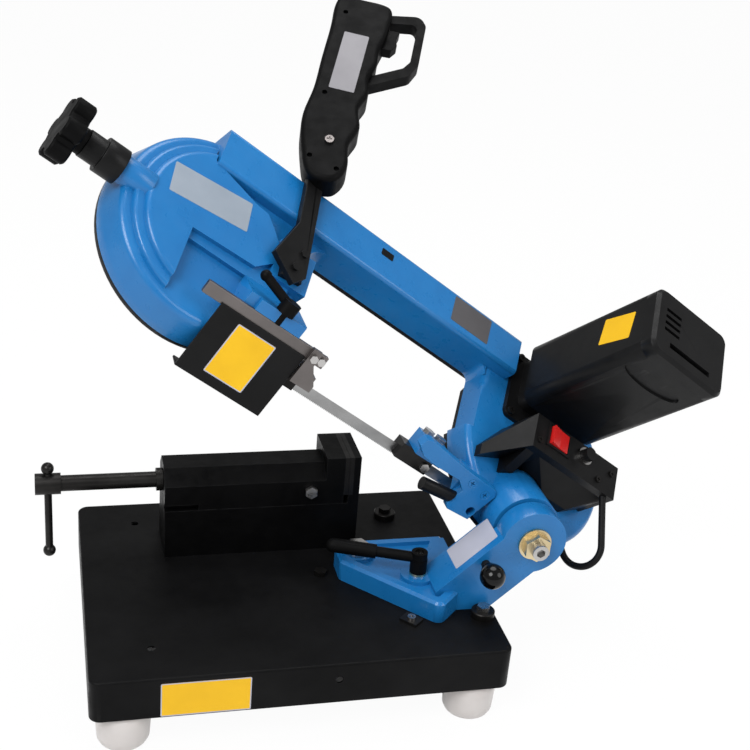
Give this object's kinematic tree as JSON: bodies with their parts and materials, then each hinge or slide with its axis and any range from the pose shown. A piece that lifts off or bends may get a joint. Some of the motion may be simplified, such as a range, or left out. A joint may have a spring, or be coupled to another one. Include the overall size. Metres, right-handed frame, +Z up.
{
  "type": "portable metal cutting band saw",
  "caption": "Portable metal cutting band saw: blue cast bow with band, wheels and motor, hinged on a swivel arm over a sheet tray with a screw vise.",
  "frame": {"origin": "on the floor, under the middle of the bounding box with the bow raised", "axes": "+X from the tension knob end to the hinge end, +Y from the user's side to the back, +Z up"},
  "size_m": [0.7558, 0.4944, 0.6817],
  "materials": {
    "blue_paint": "gloss blue paint on a casting",
    "tray_paint": "satin black powder coat on sheet steel",
    "cover_paint": "satin black paint on sheet steel",
    "black_iron": "satin black paint on cast iron",
    "guard_paint": "satin black paint on steel",
    "black_plastic": "fine grained black plastic",
    "black_casting": "satin black paint on a casting",
    "grip_plastic": "matt black plastic",
    "foot_plastic": "milky moulded plastic",
    "bright_steel": "bright zinc plated steel",
    "dark_steel": "black oxide steel",
    "zinc_yellow": "yellow zinc plated steel",
    "wheel_alloy": "machined casting",
    "gear_steel": "machined steel",
    "band_steel": "rolled spring steel",
    "red_plastic": "glossy red plastic",
    "gland_metal": "plated ring",
    "lead_rubber": "matt black rubber"
  },
  "bodies": {
    "base": {"base_tray": "tray_paint", "feet": "foot_plastic", "foot_screws": "bright_steel", "base_nuts": "bright_steel", "base_bolts": "bright_steel", "mitre_pivot": "bright_steel", "mitre_stops": "bright_steel", "vise_bed": "black_iron", "vise_nut": "black_iron", "fixed_jaw_plate": "dark_steel"},
    "jaw": {"vise_slide": "black_iron", "slide_bolts": "bright_steel", "moving_jaw_plate": "dark_steel"},
    "screw": {"vise_screw": "dark_steel", "screw_collar": "bright_steel"},
    "tbar": {"tbar": "dark_steel"},
    "arm": {"swivel_arm": "blue_paint", "hinge_pin": "bright_steel", "hinge_fasteners": "zinc_yellow", "clamp_stud": "bright_steel"},
    "clamp": {"clamp_lever": "grip_plastic"},
    "lock": {"lock_pin": "bright_steel", "lock_ball": "grip_plastic"},
    "bow": {"bow_frame": "blue_paint", "rear_cover": "cover_paint", "cover_screws": "bright_steel", "drive_axle": "bright_steel", "motor_flange": "black_casting", "motor_screws": "dark_steel", "motor_housing": "black_plastic", "motor_cap": "black_plastic", "stator": "gear_steel", "switch_box": "black_plastic", "gland": "gland_metal", "switch_lead": "lead_rubber", "handle_stem": "guard_paint", "bow_bolts": "bright_steel", "grip_front": "grip_plastic", "grip_back": "grip_plastic", "tension_sleeve": "black_casting", "spring_washers": "bright_steel", "blade": "band_steel", "drive_guide": "dark_steel", "drive_bracket": "blue_paint", "chip_brush": "guard_paint"},
    "carriage": {"idler_carriage": "wheel_alloy", "idler_axle": "bright_steel"},
    "idler": {"idler_wheel": "wheel_alloy"},
    "drive": {"drive_wheel": "wheel_alloy", "drive_gear": "gear_steel"},
    "rotor": {"motor_rotor": "gear_steel"},
    "rocker": {"rocker": "red_plastic"},
    "trigger": {"trigger": "grip_plastic"},
    "tension": {"tension_knob": "grip_plastic"},
    "guide": {"guide_bar": "bright_steel", "blade_guard": "guard_paint", "guide_bolts": "bright_steel", "guide_head": "bright_steel", "idler_guide": "dark_steel"},
    "bar_clamp": {"bar_clamp": "grip_plastic"}
  },
  "joints": [
    {"name": "swivel", "type": "hinge", "parent": "base", "child": "arm", "pos_m": [-0.02387, -0.07467, 0.115], "axis": [0, 0, 1], "range_deg": [0, 45]},
    {"name": "bow_hinge", "type": "hinge", "parent": "arm", "child": "bow", "pos_m": [0.14963, -0.13667, 0.1705], "axis": [0, 1, 0], "range_deg": [-33, 12]},
    {"name": "screw_turn", "type": "hinge", "parent": "jaw", "child": "screw", "pos_m": [-0.23787, 0.00433, 0.175], "axis": [-1, 0, 0], "range_deg": [0, 10820]},
    {"name": "jaw_slide", "type": "slide", "parent": "base", "child": "jaw", "axis": [-1, 0, 0], "range_m": [0, 0.12]},
    {"name": "tbar_slide", "type": "slide", "parent": "screw", "child": "tbar", "axis": [0, 0, 1], "range_m": [0, 0.066]},
    {"name": "clamp_turn", "type": "hinge", "parent": "arm", "child": "clamp", "pos_m": [0.03313, -0.12717, 0.115], "axis": [0, 0, 1], "range_deg": [0, 70]},
    {"name": "lock_slide", "type": "slide", "parent": "arm", "child": "lock", "axis": [0, 1, 0], "range_m": [0, 0.009]},
    {"name": "tension_turn", "type": "hinge", "parent": "bow", "child": "tension", "pos_m": [-0.32127, -0.03371, 0.57195], "axis": [-0.8192, 0, 0.5736], "range_deg": [0, 2165]},
    {"name": "carriage_slide", "type": "slide", "parent": "bow", "child": "carriage", "axis": [0.8192, 0, -0.5736], "range_m": [0, 0.012]},
    {"name": "drive_turn", "type": "hinge", "parent": "bow", "child": "drive", "pos_m": [0.18231, -0.01186, 0.18754], "axis": [0.4394, -0.6428, 0.6275], "continuous": true},
    {"name": "idler_turn", "type": "hinge", "parent": "carriage", "child": "idler", "pos_m": [-0.20515, -0.01186, 0.45884], "axis": [0.4394, -0.6428, 0.6275], "continuous": true},
    {"name": "rotor_turn", "type": "hinge", "parent": "bow", "child": "rotor", "pos_m": [0.25353, -0.01945, 0.28926], "axis": [0.4394, -0.6428, 0.6275], "continuous": true},
    {"name": "guide_slide", "type": "slide", "parent": "bow", "child": "guide", "axis": [0.8192, 0, -0.5736], "range_m": [0, 0.06]},
    {"name": "bar_clamp_turn", "type": "hinge", "parent": "bow", "child": "bar_clamp", "pos_m": [-0.13035, -0.11267, 0.4227], "axis": [0.5736, 0, 0.8192], "range_deg": [0, 60]},
    {"name": "rocker_tip", "type": "hinge", "parent": "bow", "child": "rocker", "pos_m": [0.19978, -0.06953, 0.24213], "axis": [-0.3687, -0.766, -0.5265], "range_deg": [0, 8]},
    {"name": "trigger_push", "type": "slide", "parent": "bow", "child": "trigger", "axis": [-0.9604, 0.2615, 0.0958], "range_m": [0, 0.006], "stiffness_N_per_m": 400, "springref_m": -0.005}
  ],
  "couplings": [
    {"joint": "screw_turn", "follows": "jaw_slide", "rad_per_m": 1570.8},
    {"joint": "tension_turn", "follows": "carriage_slide", "rad_per_m": 3141.6},
    {"joint": "idler_turn", "follows": "drive_turn", "ratio": 1},
    {"joint": "rotor_turn", "follows": "drive_turn", "ratio": -4.2857}
  ]
}
